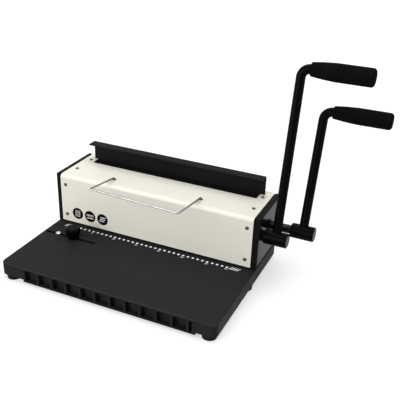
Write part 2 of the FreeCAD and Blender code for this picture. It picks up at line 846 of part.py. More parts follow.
def make_punch_beam():
    """The holder that the pins hang in, and the beam that the cams press."""
    half = "(beam_width/2)"
    holder = block(
        "holder_block", (f"-{half}", f"{PIN_Y} - beam_half_depth", "holder_bottom"),
        (half, f"{PIN_Y} + beam_half_depth", HOLDER_TOP),
    )
    holes = row_of_holes("holder_holes", "holder_bottom - 1", f"{HOLDER_TOP} + 1", "0.02")
    pockets = []
    for number, x in enumerate(("-guide_post_x", "guide_post_x"), start=1):
        pockets.append(cylinder(
            f"holder_post_hole_{number}", "Z", (x, PIN_Y, "holder_bottom - 1"),
            "holder_height + 2", "spring_diameter + 1",
        ))
    keep(cut("holder_cut", holder, [holes] + pockets), "pin_holder")
    beam = block(
        "beam_block", (f"-{half}", f"{PIN_Y} - beam_half_depth", HOLDER_TOP),
        (half, f"{PIN_Y} + beam_half_depth", BEAM_TOP),
    )
    wells = []
    spring_top = f"({STRIPPER_TOP} + spring_height)"
    for number, x in enumerate(("-guide_post_x", "guide_post_x"), start=1):
        wells.append(cylinder(
            f"spring_well_{number}", "Z", (x, PIN_Y, f"{HOLDER_TOP} - 1"),
            f"{spring_top} - {HOLDER_TOP} + 1.3", "spring_diameter + 1",
        ))
        wells.append(cylinder(
            f"post_well_{number}", "Z", (x, PIN_Y, f"{HOLDER_TOP} - 1"),
            f"{BEAM_TOP} - {HOLDER_TOP} + 2", "guide_post_diameter + 2*shaft_gap",
        ))
    keep(cut("beam_cut", beam, wells), "pressure_beam")


def make_guide_posts():
    """Posts that the beam slides on, each inside a spring that lifts the beam again."""
    posts = []
    coils = []
    for number, x in enumerate(("-guide_post_x", "guide_post_x"), start=1):
        posts.append(cylinder(
            f"guide_post_{number}", "Z", (x, PIN_Y, f"{THROAT_TOP} + 0.1"),
            f"{BEAM_TOP} - {THROAT_TOP} + 1.5", "guide_post_diameter",
        ))
        coils.append(coil(Vector(size(x), size(PIN_Y), size(STRIPPER_TOP))))
    keep(group("guide_post_group", posts), "guide_posts")
    shape_part("return_springs", Part.makeCompound(coils))


def coil(foot):
    """A compression spring of flat wire that stands on a point."""
    wire = size("spring_wire")
    radius = (size("spring_diameter") - wire) / 2
    height = size("spring_height") - wire
    helix = Part.makeHelix(height / size("spring_turns"), height, radius)
    helix.translate(foot)
    half = wire / 2
    corners = [
        foot + Vector(radius - half, 0, 0),
        foot + Vector(radius + half, 0, 0),
        foot + Vector(radius + half, 0, wire),
        foot + Vector(radius - half, 0, wire),
    ]
    section = Part.makePolygon(corners + corners[:1])
    return Part.Wire(helix.Edges).makePipeShell([section], True, True)


def cam_outline():
    """The outline of a cam in its own frame, Y across and Z up, with the shaft at the origin.

    Its working side is an involute: a flat face under it sinks by the same amount for every
    degree that the cam turns. The rest is a round boss and a short nose.
    """
    lift = size("cam_rest_lift")
    rate = size("punch_travel") / math.radians(size("punch_angle"))
    boss = lift - 0.5

    def involute(degrees_past_rest):
        turned = math.radians(degrees_past_rest)
        heading = -math.pi / 2 - turned
        outward = Vector(0, math.cos(heading), math.sin(heading))
        sideways = Vector(0, -math.sin(heading), math.cos(heading))
        return outward * (lift + rate * turned) - sideways * rate

    spare = 6
    last = size("punch_angle") + spare
    points = [involute(angle) for angle in (-spare, last / 4, last / 2, 3 * last / 4, last)]
    curve = Part.BSplineCurve()
    curve.interpolate(points)
    tip = points[-1]
    crown = Vector(0, -boss * math.sin(math.radians(25)), boss * math.cos(math.radians(25)))
    heel = Vector(0, boss * math.sin(math.radians(20)), -boss * math.cos(math.radians(20)))
    back = Vector(0, boss, 0)
    return Part.Wire([
        curve.toShape(),
        Part.LineSegment(tip, crown).toShape(),
        Part.Arc(crown, back, heel).toShape(),
        Part.LineSegment(heel, points[0]).toShape(),
    ])


def make_cams():
    """Three cams on the punch shaft, over the beam."""
    outline = cam_outline()
    width = size("cam_width")
    bore = Part.makeCylinder(
        size("shaft_diameter") / 2 + 0.02, width + 2, Vector(-1, 0, 0), Vector(1, 0, 0),
    )
    one = Part.Face(outline).extrude(Vector(width, 0, 0)).cut(bore)
    cams = []
    for place in (-1, 0, 1):
        cam = one.copy()
        cam.translate(Vector(
            place * size("cam_spacing") - width / 2, size("punch_axis_y"), size("punch_axis_z"),
        ))
        cams.append(cam)
    shape_part("punch_cams", Part.makeCompound(cams))


# ---------------------------------------------------------------- closing drive

def make_closing_bar():
    """A long inverted L: a web that stands in the slit and a flange that overhangs the mouth."""
    body = new_body("closing_bar_body")
    profile = [
        (WEB_FRONT, "bar_foot"),
        ("bar_rear", "bar_foot"),
        ("bar_rear", "bar_top"),
        ("bar_rear - bar_flange_depth", "bar_top"),
        ("bar_rear - bar_flange_depth", "bar_top - bar_sheet"),
        (WEB_FRONT, "bar_top - bar_sheet"),
    ]
    bar = extrude(
        body, "Pad", "YZ_Plane", "-bar_half_width", "bar_half_width", [profile],
    )
    rear = size("bar_rear")
    top = size("bar_top")
    front = size("bar_rear - bar_flange_depth")
    rounded = dress(
        body, "Fillet", bar,
        lambda edge, middle, along: near(abs(along.x), 1) and near(middle.y, rear)
        and near(middle.z, top),
        "bar_sheet",
    )
    dress(
        body, "Fillet", rounded,
        lambda edge, middle, along: near(abs(along.x), 1) and near(middle.y, front),
        "bar_sheet/3",
    )
    inner = "(side_plate_inner - 0.3)"
    notches = [
        rectangle("-bar_half_width - 1", "bar_foot - 1", f"-{inner}", BAR_NOTCH_TOP),
        rectangle(inner, "bar_foot - 1", "bar_half_width + 1", BAR_NOTCH_TOP),
    ]
    extrude(body, "Pocket", "XZ_Plane", f"{WEB_FRONT} - 1", "bar_rear + 1", notches)
    keep(body, "closing_bar")


def make_side_plates():
    """Forked plates on the bar's ends: the shaft stands in the fork, a crank pin in the slot."""
    outer = "(side_plate_inner + side_plate_sheet)"
    shaft_room = "(shaft_diameter/2 + slot_end_gap)"
    fork_front = f"({CLOSING_AXIS_Y} - {shaft_room})"
    fork_rear = f"({CLOSING_AXIS_Y} + {shaft_room})"
    tine_top = f"({CRANK_PIN_REST_Z} + crank_pin_diameter/2 + slot_gap + side_plate_land)"
    fork_floor = f"(closing_axis_z - {shaft_room} - slot_end_gap)"
    top = "(casing_top - cover_sheet - 3)"
    rear = "(bar_rear + side_plate_sheet)"
    profile = [
        (SIDE_PLATE_FRONT, "bar_foot"),
        (rear, "bar_foot"),
        (rear, top),
        (fork_rear, top),
        (fork_rear, fork_floor),
        (fork_front, fork_floor),
        (fork_front, tine_top),
        (SIDE_PLATE_FRONT, tine_top),
    ]
    right = new_body("closing_side_plate_body")
    extrude(right, "Pad", "YZ_Plane", "side_plate_inner", outer, [profile])
    extrude(
        right, "Pad", "XZ_Plane", "bar_rear", rear,
        [rectangle("side_plate_inner - side_plate_flange", "bar_foot", outer, top)],
    )
    slot = rectangle(
        CRANK_SWEEP_FRONT, f"{CRANK_PIN_REST_Z} - crank_pin_diameter/2 - slot_gap",
        f"{CRANK_PIN_REST_Y} + crank_pin_diameter/2 + slot_end_gap",
        f"{CRANK_PIN_REST_Z} + crank_pin_diameter/2 + slot_gap",
    )
    extrude(right, "Pocket", "YZ_Plane", "side_plate_inner - 1", f"{outer} + 1", [slot])
    keep(right, "closing_side_plate_right")
    keep(mirrored_x("closing_side_plate_mirror", right), "closing_side_plate_left")


def make_cranks():
    """Arms on the closing shaft, each with a pin that works in a side plate's slot."""
    outer = "(side_plate_inner - crank_gap)"
    inner = f"({outer} - crank_thickness)"
    axis = (CLOSING_AXIS_Y, "closing_axis_z")
    pin = (CRANK_PIN_REST_Y, CRANK_PIN_REST_Z)
    boss = cylinder("crank_boss", "X", (inner,) + axis, "crank_thickness", "shaft_diameter + 9")
    eye = cylinder("crank_eye", "X", (inner,) + pin, "crank_thickness", "crank_pin_diameter + 5")
    web = doc.addObject("Part::Box", "crank_web")
    bind(
        web, Length="crank_thickness", Width="crank_radius", Height="crank_pin_diameter + 4",
        Placement__Base__x=inner,
        Placement__Base__y=f"{CLOSING_AXIS_Y} + (crank_pin_diameter/2 + 2)*sin({CRANK_SWING})",
        Placement__Base__z=f"closing_axis_z + (crank_pin_diameter/2 + 2)*cos({CRANK_SWING})",
        Placement__Rotation__Angle=f"180 - {CRANK_SWING}",
    )
    web.Placement.Rotation = Rotation(Vector(1, 0, 0), 180 - size(CRANK_SWING))
    stub = cylinder(
        "crank_pin", "X", (inner,) + pin, "crank_thickness + crank_gap + side_plate_sheet + 1.5",
        "crank_pin_diameter",
    )
    whole = joined("crank_whole", [boss, eye, web, stub])
    bore = cylinder(
        "crank_bore", "X", (f"{inner} - 1",) + axis, "crank_thickness + 2",
        "shaft_diameter + 0.04",
    )
    right = cut("crank_cut", whole, [bore])
    keep(right, "closing_crank_right")
    keep(mirrored_x("crank_mirror", right), "closing_crank_left")


def make_closing_guides():
    """Nylon angles on the side frames that keep the side plates upright."""
    body = new_body("closing_guide_body")
    face = "(side_plate_inner + side_plate_sheet + 0.3)"
    back = "(bar_rear + side_plate_sheet + 0.3)"
    profile = [
        (face, "anvil_wall"),
        (FRAME_INNER, "anvil_wall"),
        (FRAME_INNER, f"{back} + 3"),
        ("side_plate_inner - side_plate_flange", f"{back} + 3"),
        ("side_plate_inner - side_plate_flange", back),
        (face, back),
    ]
    extrude(body, "Pad", "XY_Plane", "bed_top + 7", f"{BAR_NOTCH_TOP} - {BAR_TRAVEL} - 1", [profile])
    keep(body, "closing_guide_right")
    keep(mirrored_x("closing_guide_mirror", body), "closing_guide_left")


def make_anvil():
    """A bent sheet on the bed whose upper shelf carries the wire while it is closed."""
    body = new_body("anvil_body")
    top = "(casing_top - anvil_drop)"
    wall = "anvil_wall"
    profile = [
        (f"{wall} - anvil_foot", "bed_top"),
        (f"{wall} + anvil_sheet", "bed_top"),
        (f"{wall} + anvil_sheet", f"{top} - anvil_sheet"),
        ("anvil_shelf_rear", f"{top} - anvil_sheet"),
        ("anvil_shelf_rear", top),
        (wall, top),
        (wall, "bed_top + anvil_sheet"),
        (f"{wall} - anvil_foot", "bed_top + anvil_sheet"),
    ]
    extrude(body, "Pad", "YZ_Plane", "-anvil_half_width", "anvil_half_width", [profile])
    keep(body, "closing_anvil")


# ---------------------------------------------------------------- shafts and levers

def make_shaft_and_bushes(name, axis, arm_x):
    """A shaft from the left frame to inside its lever's hub, in a plain bush at each side."""
    left = f"(-{FRAME_INNER} - 2)"
    shaft = cylinder(
        f"{name}_shaft_rod", "X", (left,) + axis, f"{arm_x} + hub_length/2 - 3 - {left}",
        "shaft_diameter",
    )
    keep(shaft, f"{name}_shaft")
    bushes = []
    for side, low, high in (
        ("left", "-frame_outer", f"-{FRAME_INNER} + bush_stand"),
        ("right", f"{FRAME_INNER} - bush_stand", f"{PLATE_OUTER} + 0.6"),
    ):
        sleeve = cylinder(
            f"{name}_bush_sleeve_{side}", "X", (low,) + axis, f"({high}) - ({low})",
            "bush_diameter",
        )
        bore = cylinder(
            f"{name}_bush_bore_{side}", "X", (f"({low}) - 1",) + axis,
            f"({high}) - ({low}) + 2", "shaft_diameter + 2*shaft_gap",
        )
        bushes.append(cut(f"{name}_bush_{side}", sleeve, [bore]))
    keep(group(f"{name}_bush_group", bushes), f"{name}_shaft_bushes")


def place_on_lever(item, name, axis, lift):
    """Stands an upright piece on its shaft and leans it back to the lever's rest angle."""
    lean = f"{name}_arm_lean"
    item.Placement = FreeCAD.Placement(Vector(), Rotation(Vector(1, 0, 0), -size(lean)))
    bind(
        item,
        Placement__Base__x=f"{name}_arm_x",
        Placement__Base__y=f"{axis[0]} + ({lift})*sin({lean})",
        Placement__Base__z=f"{axis[1]} + ({lift})*cos({lean})",
    )


def make_lever(name, axis):
    """Hub, bent arm and grip of one lever."""
    body = new_body(f"{name}_hub_body")
    half = "(hub_length/2)"
    barrel = extrude(
        body, "Pad", "YZ_Plane", f"-{half}", half, circles=[(("0", "0"), "hub_diameter")],
    )
    bevelled = dress(
        body, "Chamfer", barrel, lambda edge, middle, along: not is_straight(edge), "hub_chamfer",
    )
    extrude(
        body, "Pocket", "YZ_Plane", f"-{half} - 1", f"{half} - 2.9",
        circles=[(("0", "0"), "shaft_diameter + 0.04")],
    )
    extrude(
        body, "Pocket", "XY_Plane", "1", "hub_diameter",
        circles=[(("0", "0"), "arm_diameter + 0.04")],
    )
    place_on_lever(body, name, axis, "0")
    keep(body, f"{name}_lever_hub")

    reach = size(f"{GRIP_START} + {name}_grip_length - 8")
    length = size(f"{name}_arm_length")
    foot = Vector(0, 0, size("shaft_diameter") / 2 + 0.3)
    arm = bent_rod(
        [foot, Vector(0, 0, length), Vector(reach, 0, length)],
        size("arm_bend"), size("arm_diameter"),
    )
    shape_part(
        f"{name}_lever_arm", arm,
        FreeCAD.Placement(
            Vector(size(f"{name}_arm_x"), size(axis[0]), size(axis[1])),
            Rotation(Vector(1, 0, 0), -size(f"{name}_arm_lean")),
        ),
    )
    make_grip(name, axis)


def make_grip(name, axis):
    """A rubber sleeve, slim at the arm and thick outboard, closed at its outer end."""
    body = new_body(f"{name}_grip_body")
    start = GRIP_START
    end = f"({start} + {name}_grip_length)"
    radius = f"({name}_grip_diameter/2)"
    neck = f"({radius}*grip_neck_ratio)"
    bore = "(arm_diameter/2 + 0.02)"
    bottom = f"({end} - 7.9)"
    profile = [
        (start, bore),
        (start, f"{neck} - 1"),
        (f"{start} + 1", neck),
        (f"{start} + grip_taper_length/2", f"{neck} + ({radius} - {neck})*0.62"),
        (f"{start} + grip_taper_length", radius),
        (end, radius),
        (end, "0"),
        (bottom, "0"),
        (bottom, bore),
    ]
    sleeve = revolve(body, "XZ_Plane", profile)
    outer = size(end)
    full = size(radius)
    dress(
        body, "Fillet", sleeve,
        lambda edge, middle, along: not is_straight(edge) and near(middle.x, outer)
        and near(math.hypot(middle.y, middle.z), full),
        "grip_end_radius",
    )
    place_on_lever(body, name, axis, f"{name}_arm_length")
    keep(body, f"{name}_grip")


# ---------------------------------------------------------------- edge guide

def make_edge_guide():
    """A slider under the bed with a pin and a stud that stand up through the slot."""
    top = f"({BED_CEILING} - 0.2)"
    low = f"({top} - guide_slider_height)"
    half = "(guide_slider_width/2)"
    bar = block(
        "guide_bar", ("-guide_pin_x - 3.5", f"guide_slot_y - {half}", low),
        ("-guide_knob_x + 7", f"guide_slot_y + {half}", top),
    )
    stud = cylinder(
        "guide_stud", "Z", ("-guide_knob_x", "guide_slot_y", low),
        f"bed_top + knob_height - 4 - {low}", "guide_stud_diameter",
    )
    shank = cylinder(
        "guide_pin_shank", "Z", ("-guide_pin_x", "guide_slot_y", low),
        f"bed_top + 1 - {low}", "guide_stud_diameter",
    )
    keep(joined("guide_slider_whole", [bar, stud, shank]), "guide_slider")
    body = new_body("guide_pin_body")
    half_head = "(guide_pin_head/2)"
    profile = [
        ("guide_stud_diameter/2 + 0.02", "0"),
        (half_head, "0"),
        (half_head, "1.6"),
        (f"{half_head} - 1.2", "2.6"),
        ("0", "2.6"),
        ("0", "0.9"),
        ("guide_stud_diameter/2 + 0.02", "0.9"),
    ]
    revolve(body, "XZ_Plane", profile, "V_Axis")
    bind(
        body, Placement__Base__x="-guide_pin_x", Placement__Base__y="guide_slot_y",
        Placement__Base__z="bed_top + 0.2",
    )
    keep(body, "guide_pin")


def make_knob():
    """A fluted clamping knob that widens upwards and has a rounded top."""
    body = new_body("guide_knob_body")
    centre = ("0", "0")
    profile = [
        ("0", "0"),
        ("knob_foot_diameter/2", "0"),
        ("knob_diameter/2", "knob_widest_height"),
        ("knob_diameter/2", "knob_height"),
        ("0", "knob_height"),
    ]
    head = revolve(body, "XZ_Plane", profile, "V_Axis")
    top = size("knob_height")
    dress(
        body, "Fillet", head,
        lambda edge, middle, along: not is_straight(edge) and near(middle.z, top),
        "knob_round",
    )
    flute = extrude(
        body, "Pocket", "XY_Plane", "-1", "knob_height + 1",
        circles=[(("knob_diameter/2 + 0.5", "0"), "knob_flute_diameter")],
    )
    ring = body.newObject("PartDesign::PolarPattern", "flute_pattern")
    ring.Originals = [flute]
    ring.Axis = (flute.Profile[0], ["N_Axis"])
    ring.Angle = 360
    bind(ring, Occurrences="knob_flutes")
    body.Tip = ring
    extrude(
        body, "Pocket", "XY_Plane", "-1", "knob_height - 3",
        circles=[(centre, "guide_stud_diameter + 2*shaft_gap")],
    )
    bind(
        body, Placement__Base__x="-guide_knob_x", Placement__Base__y="guide_slot_y",
        Placement__Base__z="bed_top + 0.2",
    )
    keep(body, "guide_knob")


# ---------------------------------------------------------------- the whole machine

def check_parts():
    """Stops the build if any object failed or any sub-part has no sound shape."""
    for item in doc.Objects:
        if {"Invalid", "Error"} & set(item.State):
            raise RuntimeError(f"{item.Label} is {item.State}")
    for item in sub_parts:
        if item.Shape.isNull() or not item.Shape.isValid() or not item.Shape.Solids:
            raise RuntimeError(f"{item.Label} has no sound shape")


def write_parts():
    os.makedirs("parts", exist_ok=True)
    for item in sub_parts:
        item.Shape.exportStep(os.path.join("parts", f"{item.Label}.step"))


def build():
    fill_sheet()
    make_bed()
    make_feet()
    make_drawer_front()
    make_drawer_tray()
    make_drawer_rails()
    make_side_frames()
    make_end_plate("end_plate_right", 1, True)
    make_end_plate("end_plate_left", -1, False)
    make_front_top_cover()
    make_rear_cover()
    make_wire_rod()
    make_die()
    make_stripper()
    make_punch_pins()
    make_punch_beam()
    make_guide_posts()
    make_cams()
    make_closing_bar()
    make_side_plates()
    make_cranks()
    make_closing_guides()
    make_anvil()
    punch_axis, closing_axis = shaft_axes()
    make_shaft_and_bushes("punch", punch_axis, "punch_arm_x")
    make_shaft_and_bushes("closing", closing_axis, "closing_arm_x")
    make_lever("punch", punch_axis)
    make_lever("closing", closing_axis)
    make_edge_guide()
    make_knob()
    doc.recompute()
    check_parts()
    write_parts()


build()
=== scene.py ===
import json
import math

import bmesh
import bpy
from mathutils import Matrix, Vector


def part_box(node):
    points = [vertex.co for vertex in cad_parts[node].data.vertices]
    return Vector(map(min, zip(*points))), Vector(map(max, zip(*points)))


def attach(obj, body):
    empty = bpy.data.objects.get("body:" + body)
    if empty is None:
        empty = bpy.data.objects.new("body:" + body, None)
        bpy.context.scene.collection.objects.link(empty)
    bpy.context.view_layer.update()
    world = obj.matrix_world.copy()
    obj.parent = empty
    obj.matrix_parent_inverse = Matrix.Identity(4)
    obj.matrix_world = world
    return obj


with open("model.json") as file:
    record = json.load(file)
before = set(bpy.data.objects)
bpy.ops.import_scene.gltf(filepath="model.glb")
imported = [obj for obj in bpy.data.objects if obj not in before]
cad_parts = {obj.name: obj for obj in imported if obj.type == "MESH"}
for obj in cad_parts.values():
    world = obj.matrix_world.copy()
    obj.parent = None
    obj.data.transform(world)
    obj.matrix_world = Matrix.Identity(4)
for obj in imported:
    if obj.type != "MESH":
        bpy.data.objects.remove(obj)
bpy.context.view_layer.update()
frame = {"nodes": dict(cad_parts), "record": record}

# The looks of a two-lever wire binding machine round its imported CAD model: studio, materials,
# printed marks, screws and other small parts. Lengths are in metres and colours are linear.
# x runs along the casing to the levers, y to the back, and z up from the desk.

NODES = frame["nodes"]
MM = 0.001
RIGHT = (1, 0, 0)
LEFT = (-1, 0, 0)
BACKWARDS = (0, 1, 0)
UP = (0, 0, 1)

# --- camera -----------------------------------------------------------------

# Solved on the photo: the scale on the bed, the corners of bed and casing, and the levers.
CAMERA_PLACE = Vector((0.4351, -0.7948, 0.5756))
CAMERA_YAW = math.radians(23.13)
CAMERA_PITCH = math.radians(26.51)
CAMERA_ROLL = math.radians(2.17)
CAMERA_LENS = 58.04
CAMERA_SENSOR = 36.0
CAMERA_CLIP_END = 50


def add_camera():
    """Stands the camera right of the front by its yaw and above it by its pitch, and rolls it."""
    back = Vector((
        math.sin(CAMERA_YAW) * math.cos(CAMERA_PITCH),
        -math.cos(CAMERA_YAW) * math.cos(CAMERA_PITCH),
        math.sin(CAMERA_PITCH),
    ))
    level = (-back).cross(Vector(UP)).normalized()
    upright = level.cross(-back)
    right = math.cos(CAMERA_ROLL) * level + math.sin(CAMERA_ROLL) * upright
    up = -math.sin(CAMERA_ROLL) * level + math.cos(CAMERA_ROLL) * upright
    data = bpy.data.cameras.new("camera")
    data.lens = CAMERA_LENS
    data.sensor_width = CAMERA_SENSOR
    data.clip_end = CAMERA_CLIP_END
    camera = bpy.data.objects.new("camera", data)
    turn = Matrix((right, up, back)).transposed().to_4x4()
    camera.matrix_world = Matrix.Translation(CAMERA_PLACE) @ turn
    bpy.context.scene.collection.objects.link(camera)
    bpy.context.scene.camera = camera


# --- node trees -------------------------------------------------------------

# Where a Mix node of each kind has its A, its B and its result.
MIX_SOCKETS = {"FLOAT": (2, 3, 0), "RGBA": (6, 7, 2)}
# Most values of a noise lie within the spread of its middle.
NOISE_MIDDLE = 0.5
NOISE_SPREAD = 0.2
NOISE_LOW = NOISE_MIDDLE - NOISE_SPREAD
NOISE_HIGH = NOISE_MIDDLE + NOISE_SPREAD


class Graph:
    """Short words for building a node tree."""

    def __init__(self, tree):
        self.tree = tree

    def add(self, kind, inputs=None, **settings):
        """A new node; inputs gives a value, or another node's output, for some of its sockets."""
        node = self.tree.nodes.new("ShaderNode" + kind)
        for key, value in settings.items():
            setattr(node, key, value)
        for key, value in (inputs or {}).items():
            self.feed(node.inputs[key], value)
        return node

    def feed(self, socket, value):
        """Links a socket to another node's output, or sets it to a number, a vector or a colour."""
        if isinstance(value, bpy.types.NodeSocket):
            self.tree.links.new(value, socket)
        elif socket.type == "RGBA":
            socket.default_value = (*value, 1)
        else:
            socket.default_value = value

    def math(self, operation, *values, **settings):
        node = self.add("Math", dict(enumerate(values)), operation=operation, **settings)
        return node.outputs[0]

    def remap(self, value, low, high, from_low=NOISE_LOW, from_high=NOISE_HIGH, **settings):
        """Goes from low to high while the value goes from from_low to from_high."""
        inputs = {
            "Value": value,
            "From Min": from_low, "From Max": from_high,
            "To Min": low, "To Max": high,
        }
        return self.add("MapRange", inputs, **settings).outputs["Result"]

    def mix(self, factor, a, b, data_type="RGBA"):
        slot_a, slot_b, result = MIX_SOCKETS[data_type]
        node = self.add("Mix", {"Factor": factor, slot_a: a, slot_b: b}, data_type=data_type)
        return node.outputs[result]

    def seen_directly(self):
        """1 for camera, glossy and transmission rays, 0 for the rays that light the object."""
        path = self.add("LightPath").outputs
        total = path["Is Camera Ray"]
        for name in ("Is Glossy Ray", "Is Transmission Ray"):
            total = self.math("ADD", total, path[name], use_clamp=True)
        return total


# --- light and floor --------------------------------------------------------

WHITE = (1, 1, 1)
FILL_LEVEL = 0.25
# At a level of 1 the backdrop renders white.
BACKDROP_LEVEL = 1
LAMP_AIM = (0, 0, 0.08)
LAMPS = {
    "key": {"place": (-1.15, -2.0, 0.9), "diameter": 2.0, "power": 43},
    "top": {"place": (0.1, 0.3, 2.3), "diameter": 3.2, "power": 50},
    "side": {"place": (2.1, -0.3, 0.65), "diameter": 1.2, "power": 5},
}
FLOOR_COLOUR = (0.55, 0.55, 0.55)
FLOOR_HALF = 9
# The floor's glow and the distances from the object between which it grows to white.
GLOW_NEAR = 0.55
GLOW_FAR = 1.0
GLOW_FROM = 0.5
GLOW_TO = 2.5


def add_lamp(name, place, diameter, power):
    data = bpy.data.lights.new(name, "AREA")
    data.shape = "DISK"
    data.size = diameter
    data.energy = power
    light = bpy.data.objects.new(name, data)
    direction = Vector(LAMP_AIM) - Vector(place)
    light.rotation_euler = direction.to_track_quat("-Z", "Y").to_euler()
    light.location = place
    bpy.context.scene.collection.objects.link(light)


def add_world():
    """A dim white light all round, and a white backdrop for the rays that see it directly."""
    world = bpy.data.worlds.new("studio")
    bpy.context.scene.world = world
    world.use_nodes = True
    graph = Graph(world.node_tree)
    graph.tree.nodes.clear()
    fill = graph.add("Background", {"Color": WHITE, "Strength": FILL_LEVEL}).outputs[0]
    backdrop = graph.add("Background", {"Color": WHITE, "Strength": BACKDROP_LEVEL}).outputs[0]
    mix = graph.add("MixShader", {0: graph.seen_directly(), 1: fill, 2: backdrop}).outputs[0]
    graph.add("OutputWorld", {"Surface": mix})


def floor_material():
    """A diffuse floor that keeps the shadow, with a glow that turns it white further out."""
    material = bpy.data.materials.new("floor")
    material.use_nodes = True
    graph = Graph(material.node_tree)
    graph.tree.nodes.clear()
    place = graph.add("TexCoord").outputs["Object"]
    distance = graph.add("VectorMath", {0: place}, operation="LENGTH").outputs["Value"]
    growth = graph.remap(
        distance, GLOW_NEAR, GLOW_FAR, GLOW_FROM, GLOW_TO, interpolation_type="SMOOTHSTEP",
    )
    strength = graph.math("MULTIPLY", graph.seen_directly(), growth)
    glow = graph.add("Emission", {"Color": WHITE, "Strength": strength}).outputs[0]
    diffuse = graph.add("BsdfDiffuse", {"Color": FLOOR_COLOUR}).outputs[0]
    total = graph.add("AddShader", {0: diffuse, 1: glow}).outputs[0]
    graph.add("OutputMaterial", {"Surface": total})
    return material


def add_floor():
    mesh = bpy.data.meshes.new("floor")
    half = FLOOR_HALF
    corners = [(-half, -half, 0), (half, -half, 0), (half, half, 0), (-half, half, 0)]
    mesh.from_pydata(corners, [], [(0, 1, 2, 3)])
    mesh.materials.append(floor_material())
    floor = bpy.data.objects.new("floor", mesh)
    bpy.context.scene.collection.objects.link(floor)


def add_studio():
    add_world()
    add_floor()
    for name, lamp in LAMPS.items():
        add_lamp(name, **lamp)


# --- kinds of material ------------------------------------------------------

# Sharp edges, which lighten as wear with a painted highlight, are about as wide as the radius.
# Their mask goes from 1 to 0 between these cosines of the angle from the true normal to that of a
# rounded edge.
EDGE_RADIUS = 0.8 * MM
EDGE_SAMPLES = 6
EDGE_FULL = 0.75
EDGE_NONE = 0.985
# How far a face leans is |z| * (1 - |z|) of its normal, at most a quarter. Its mask, which puts a
# painted highlight on round edges, goes from 0 to 1 between these.
LEAN_NONE = 0.03
LEAN_FULL = 0.2
# How a steel's grain is packed along x, y and z.
BRUSHED = (4, 60, 60)
PLAIN = (3, 3, 3)
# The sunk field of an end plate lies this far from the middle, give or take the second value.
END_PLATE_FIELD_X = 182.7 * MM
END_PLATE_FIELD_NEAR = 0.3 * MM


def scaled(colour, factor):
    return tuple(min(1.0, part * factor) for part in colour)


class Look(Graph):
    """A Principled material whose colour, roughness and bump come from procedural nodes."""

    def __init__(self, name, specular=0.5, metallic=0.0):
        self.material = bpy.data.materials.new(name)
        self.material.use_nodes = True
        super().__init__(self.material.node_tree)
        self.shader = self.tree.nodes["Principled BSDF"]
        self.shader.inputs["Metallic"].default_value = metallic
        self.shader.inputs["Specular IOR Level"].default_value = specular
        self.place = self.add("TexCoord").outputs["Object"]

    def noise(self, per_metre, detail=3, stretch=(1, 1, 1)):
        """A noise value whose grain is about 1 / per_metre wide."""
        mapping = self.add("Mapping", {"Vector": self.place, "Scale": stretch}).outputs[0]
        inputs = {"Vector": mapping, "Scale": per_metre, "Detail": detail}
        return self.add("TexNoise", inputs).outputs["Fac"]

    def pores(self, per_metre):
        """The distance to the nearest of many scattered points."""
        inputs = {"Vector": self.place, "Scale": per_metre}
        return self.add("TexVoronoi", inputs).outputs["Distance"]

    def shades(self, value, colour, darker, lighter, spread=NOISE_SPREAD):
        """A darker to a lighter shade of the colour, as the value goes through its middle."""
        node = self.add("ValToRGB", {"Fac": value})
        stops = ((NOISE_MIDDLE - spread, darker), (NOISE_MIDDLE + spread, lighter))
        for element, (position, factor) in zip(node.color_ramp.elements, stops):
            element.position = position
            element.color = (*scaled(colour, factor), 1)
        return node.outputs["Color"]

    def worn_edge(self):
        """1 on sharp edges, 0 on flat faces."""
        rounded = self.add("Bevel", {"Radius": EDGE_RADIUS}, samples=EDGE_SAMPLES).outputs[0]
        true = self.add("NewGeometry").outputs["Normal"]
        dot = self.add("VectorMath", {0: rounded, 1: true}, operation="DOT_PRODUCT")
        return self.remap(dot.outputs["Value"], 1, 0, EDGE_FULL, EDGE_NONE)

    def leaning(self):
        """1 on faces that lean, as on rounded edges, 0 on level and upright ones."""
        normal = self.add("NewGeometry").outputs["Normal"]
        split = self.add("SeparateXYZ", {0: normal})
        level = self.math("ABSOLUTE", split.outputs["Z"])
        lean = self.math("MULTIPLY", level, self.math("SUBTRACT", 1.0, level))
        return self.remap(lean, 0, 1, LEAN_NONE, LEAN_FULL)

    def colour(self, value):
        self.feed(self.shader.inputs["Base Color"], value)

    def roughness(self, value):
        self.feed(self.shader.inputs["Roughness"], value)

    def bump(self, *heights):
        """Lays bumps on each other; heights are pairs of a height value and its depth in metres."""
        normal = {}
        for value, depth in heights:
            node = self.add("Bump", {"Height": value, "Strength": 1, "Distance": depth, **normal})
            normal = {"Normal": node.outputs["Normal"]}
        self.feed(self.shader.inputs["Normal"], normal["Normal"])


def powder_paint(name, colour, rough, specular, grain=1400, depth=0.06 * MM,
                 edge_wear_and_highlight=2.2, cloudy=0.1, speckled=0.25, curve_highlight_share=0.0):
    """Fine-textured powder paint, whose sharp edges go to the edge factor times its colour, in
    patches:
    wear with a painted highlight. Round edges get the round-edge share of that as a painted
    highlight."""
    look = Look(name, specular)
    speckle = look.noise(grain, detail=2)
    cloud = look.noise(per_metre=9)
    clouds = look.shades(cloud, colour, 1 - cloudy, 1 + cloudy, spread=0.15)
    grains = look.shades(speckle, colour, 1 - speckled, 1 + speckled, spread=0.12)
    patches = look.remap(look.noise(per_metre=160), low=0.15, high=0.9)
    # Sharp edges lighten in patches: wear, with a painted highlight on top.
    edge = look.math("MULTIPLY", look.worn_edge(), patches)
    # Round edges also get a painted highlight of their curve.
    if curve_highlight_share:
        painted_curve_highlight = look.math("MULTIPLY", look.leaning(), curve_highlight_share)
        edge = look.math("MAXIMUM", edge, painted_curve_highlight)
    flat = look.mix(factor=0.5, a=clouds, b=grains)
    look.colour(look.mix(edge, flat, scaled(colour, edge_wear_and_highlight)))
    look.roughness(look.remap(look.noise(per_metre=45), *rough))
    look.bump((speckle, depth))
    return look.material


